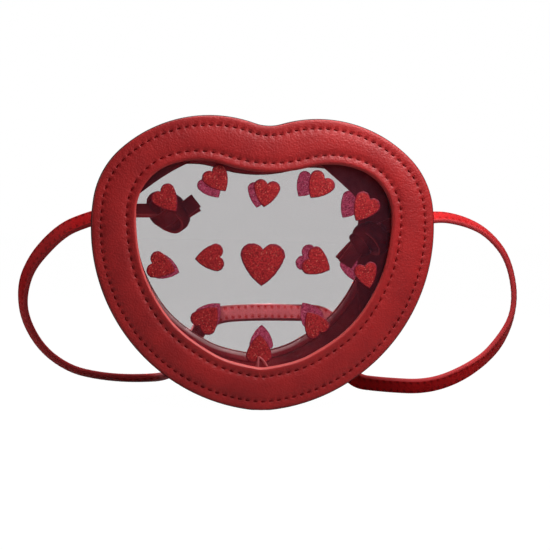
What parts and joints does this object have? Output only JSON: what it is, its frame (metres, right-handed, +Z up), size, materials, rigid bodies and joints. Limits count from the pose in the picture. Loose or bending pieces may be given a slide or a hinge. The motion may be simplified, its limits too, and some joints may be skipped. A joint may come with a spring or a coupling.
{
  "type": "heart shaped purse",
  "caption": "Small heart shaped purse with leather ring panels, clear windows with glitter hearts, a stiff gusset with a zip along the top, and a flat strap knotted through side slots.",
  "frame": {"origin": "under the middle of the bag, on the surface that its tip stands on", "axes": "+X to the right seen from the front, +Y towards the back panel, +Z up to the lobes"},
  "size_m": [0.309, 0.0869, 0.163],
  "materials": {
    "red_leather": "grained, satin",
    "board": "matte",
    "clear_sheet": "clear, glossy",
    "glitter_film": "fine glitter",
    "wine_lining": "matte",
    "zip_tape": "woven",
    "zip_coil": "satin",
    "zip_metal": "polished light gold"
  },
  "bodies": {
    "bag": {"front_ring": "red_leather", "back_ring": "red_leather", "front_ring_board": "board", "back_ring_board": "board", "front_window": "clear_sheet", "back_window": "clear_sheet", "front_hearts": "glitter_film", "back_hearts": "glitter_film", "gusset_band": "red_leather", "gusset_lining": "wine_lining", "front_seam_flange": "red_leather", "back_seam_flange": "red_leather", "zip_panel_front": "red_leather", "zip_panel_back": "red_leather", "zip_tape_front": "zip_tape", "zip_tape_back": "zip_tape", "zip_coil_front": "zip_coil", "zip_coil_back": "zip_coil", "zip_end_stops": "zip_metal", "zip_end_tab_left": "red_leather", "zip_end_tab_right": "red_leather", "slot_patch_left": "wine_lining", "slot_patch_right": "wine_lining", "strap": "red_leather", "strap_knot_left": "red_leather", "strap_knot_right": "red_leather"},
    "slider_left": {"zip_slider_left": "zip_metal"},
    "slider_right": {"zip_slider_right": "zip_metal"},
    "pull_left": {"zip_pull_left": "zip_metal"},
    "pull_right": {"zip_pull_right": "zip_metal"}
  },
  "joints": [
    {"name": "slider_left_travel", "type": "hinge", "parent": "bag", "child": "slider_left", "pos_m": [-0.0301, 0, 0.0895], "axis": [0, -1, 0], "range_deg": [0, 47.5]},
    {"name": "slider_right_travel", "type": "hinge", "parent": "bag", "child": "slider_right", "pos_m": [0.0301, 0, 0.0895], "axis": [0, 1, 0], "range_deg": [0, 47.5]},
    {"name": "pull_left_swing", "type": "hinge", "parent": "slider_left", "child": "pull_left", "pos_m": [-0.01476, 0, 0.15651], "axis": [0, 1, 0], "range_deg": [0, 115]},
    {"name": "pull_right_swing", "type": "hinge", "parent": "slider_right", "child": "pull_right", "pos_m": [0.01476, 0, 0.15651], "axis": [0, -1, 0], "range_deg": [0, 115]}
  ]
}
